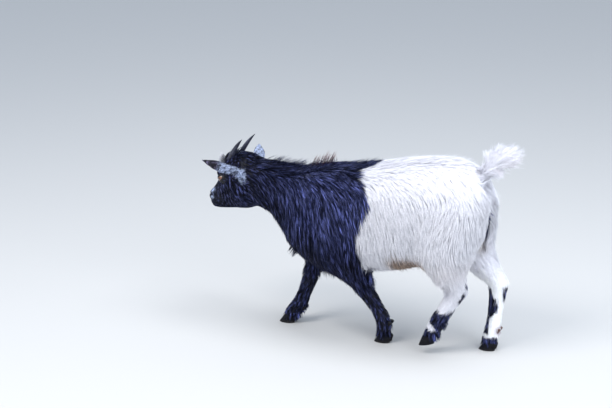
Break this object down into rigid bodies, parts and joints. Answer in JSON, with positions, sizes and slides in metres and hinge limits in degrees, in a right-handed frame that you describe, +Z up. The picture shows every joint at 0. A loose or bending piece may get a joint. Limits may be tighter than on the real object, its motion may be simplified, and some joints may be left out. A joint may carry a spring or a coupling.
{
  "type": "goat figure",
  "caption": "Life-size still model of a horned pygmy goat in mid-step, black in front and white behind, head turned aside and tail raised.",
  "frame": {"origin": "on the floor, under the middle of the whole figure's outline box", "axes": "+Z up, -Y ahead of the goat, +X to the goat's left"},
  "size_m": [0.2738, 0.8934, 0.567],
  "materials": {
    "black_coat": "long, glossy black hair with a bluish sheen",
    "white_coat": "long, soft white hair",
    "grey_coat": "short grey hair with a pale rim",
    "horn": "ridged dark grey horn",
    "claw_horn": "dull dark hoof horn",
    "eye_gloss": "wet brown iris with a level slit pupil"
  },
  "bodies": {
    "root": {"trunk": "white_coat", "neck": "black_coat", "head": "black_coat", "eye_left": "eye_gloss", "eye_right": "eye_gloss", "horn_left": "horn", "horn_right": "horn", "ear_left": "grey_coat", "ear_right": "grey_coat", "tail": "white_coat", "foreleg_left": "black_coat", "foreleg_right": "black_coat", "hindleg_left": "white_coat", "hindleg_right": "white_coat", "foreleg_left_claw_outer": "claw_horn", "foreleg_left_dewclaw_outer": "claw_horn", "foreleg_left_claw_inner": "claw_horn", "foreleg_left_dewclaw_inner": "claw_horn", "foreleg_right_claw_outer": "claw_horn", "foreleg_right_dewclaw_outer": "claw_horn", "foreleg_right_claw_inner": "claw_horn", "foreleg_right_dewclaw_inner": "claw_horn", "hindleg_left_claw_outer": "claw_horn", "hindleg_left_dewclaw_outer": "claw_horn", "hindleg_left_claw_inner": "claw_horn", "hindleg_left_dewclaw_inner": "claw_horn", "hindleg_right_claw_outer": "claw_horn", "hindleg_right_dewclaw_outer": "claw_horn", "hindleg_right_claw_inner": "claw_horn", "hindleg_right_dewclaw_inner": "claw_horn"}
  },
  "joints": []
}
